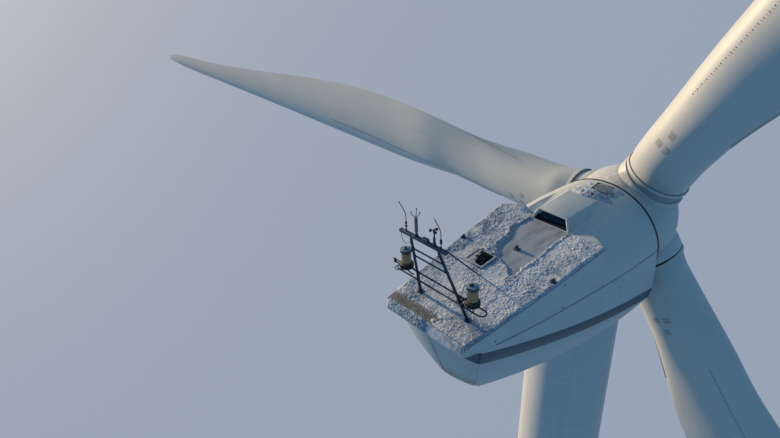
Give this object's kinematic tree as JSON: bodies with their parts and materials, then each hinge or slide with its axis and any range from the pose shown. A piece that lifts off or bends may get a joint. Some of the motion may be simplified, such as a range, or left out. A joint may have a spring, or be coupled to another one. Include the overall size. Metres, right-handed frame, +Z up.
{
  "type": "wind turbine nacelle, 1:10 scale model",
  "caption": "Scale model of a wind turbine nacelle that yaws on a tower section, with roof sensor mast, cooler duct, lights and a turning hub with full-length pitching blades.",
  "frame": {"origin": "centre of the lower flange face of the tower section", "axes": "+Z up along the tower axis, -Y towards the wind and the rotor, +X to the machine's left as seen from behind"},
  "size_m": [9.0438, 2.0029, 9.9598],
  "materials": {
    "shell_paint": "satin light grey laminate, frost and dust stained",
    "band_paint": "satin slate blue",
    "tower_paint": "satin light grey",
    "blade_paint": "satin light grey gelcoat with worn patches",
    "galvanised_steel": "dull galvanised",
    "black_plastic": "matt black",
    "ribbed_lens": "ribbed clear plastic over a light source",
    "cast_frame": "painted casting",
    "dark_hatch": "dark glossy hatch panel, half under snow",
    "grey_panel": "dull grey, iced"
  },
  "bodies": {
    "tower_top": {"tower_section": "tower_paint", "tower_base_flange": "galvanised_steel", "yaw_ring": "cast_frame"},
    "nacelle": {"bedplate": "cast_frame", "main_bearing": "cast_frame", "side_upper_right": "shell_paint", "side_middle_right": "shell_paint", "side_band_right": "band_paint", "side_lower_right": "shell_paint", "side_upper_left": "shell_paint", "side_middle_left": "shell_paint", "side_band_left": "band_paint", "side_lower_left": "shell_paint", "floor_pan": "shell_paint", "roof_panel": "shell_paint", "rear_lip": "shell_paint", "rear_wall": "shell_paint", "front_cowl": "shell_paint", "cooler_duct": "shell_paint", "duct_louvre": "galvanised_steel", "front_wall": "shell_paint", "hatch_curb": "shell_paint", "hatch_lid": "dark_hatch", "cowl_hatch": "grey_panel", "lifting_lug_middle": "galvanised_steel", "lifting_lug_left": "galvanised_steel", "lifting_lug_right": "galvanised_steel", "mast_leg_right": "galvanised_steel", "mast_leg_left": "galvanised_steel", "mast_beam": "galvanised_steel", "mast_rung_upper": "galvanised_steel", "mast_rung_lower": "galvanised_steel", "mast_rail_loop": "galvanised_steel", "mast_stay": "galvanised_steel", "lightning_rod_left": "galvanised_steel", "lightning_rod_right": "galvanised_steel", "ultrasonic_sensor": "galvanised_steel", "cup_post": "galvanised_steel", "light_right_base": "black_plastic", "light_right_lens": "ribbed_lens", "light_right_cap": "grey_panel", "light_left_base": "black_plastic", "light_left_lens": "ribbed_lens", "light_left_cap": "grey_panel"},
    "rotor": {"spinner": "shell_paint", "hub_collar_1": "shell_paint", "hub_collar_2": "shell_paint", "hub_collar_3": "shell_paint", "main_shaft": "galvanised_steel"},
    "blade_1": {"blade_1": "blade_paint"},
    "blade_2": {"blade_2": "blade_paint"},
    "blade_3": {"blade_3": "blade_paint"},
    "cups": {"cup_rotor": "black_plastic"}
  },
  "joints": [
    {"name": "yaw", "type": "hinge", "parent": "tower_top", "child": "nacelle", "pos_m": [0, 0, 1.5], "axis": [0, 0, 1], "range_deg": [-900, 900]},
    {"name": "rotor_spin", "type": "hinge", "parent": "nacelle", "child": "rotor", "pos_m": [0, -0.3037, 1.8], "axis": [0, -0.9957, 0.0927], "continuous": true},
    {"name": "pitch_1", "type": "hinge", "parent": "rotor", "child": "blade_1", "pos_m": [0, -0.3037, 1.8], "axis": [0.4308, -0.0068, -0.9024], "range_deg": [-6.4, 83.6]},
    {"name": "pitch_2", "type": "hinge", "parent": "rotor", "child": "blade_2", "pos_m": [0, -0.3037, 1.8], "axis": [-0.9941, 0.0837, 0.069], "range_deg": [-6.4, 83.6]},
    {"name": "pitch_3", "type": "hinge", "parent": "rotor", "child": "blade_3", "pos_m": [0, -0.3037, 1.8], "axis": [0.5633, 0.1528, 0.812], "range_deg": [-6.4, 83.6]},
    {"name": "cup_spin", "type": "hinge", "parent": "nacelle", "child": "cups", "pos_m": [-0.036, 0.79879, 2.21637], "axis": [0, 0, 1], "continuous": true}
  ]
}
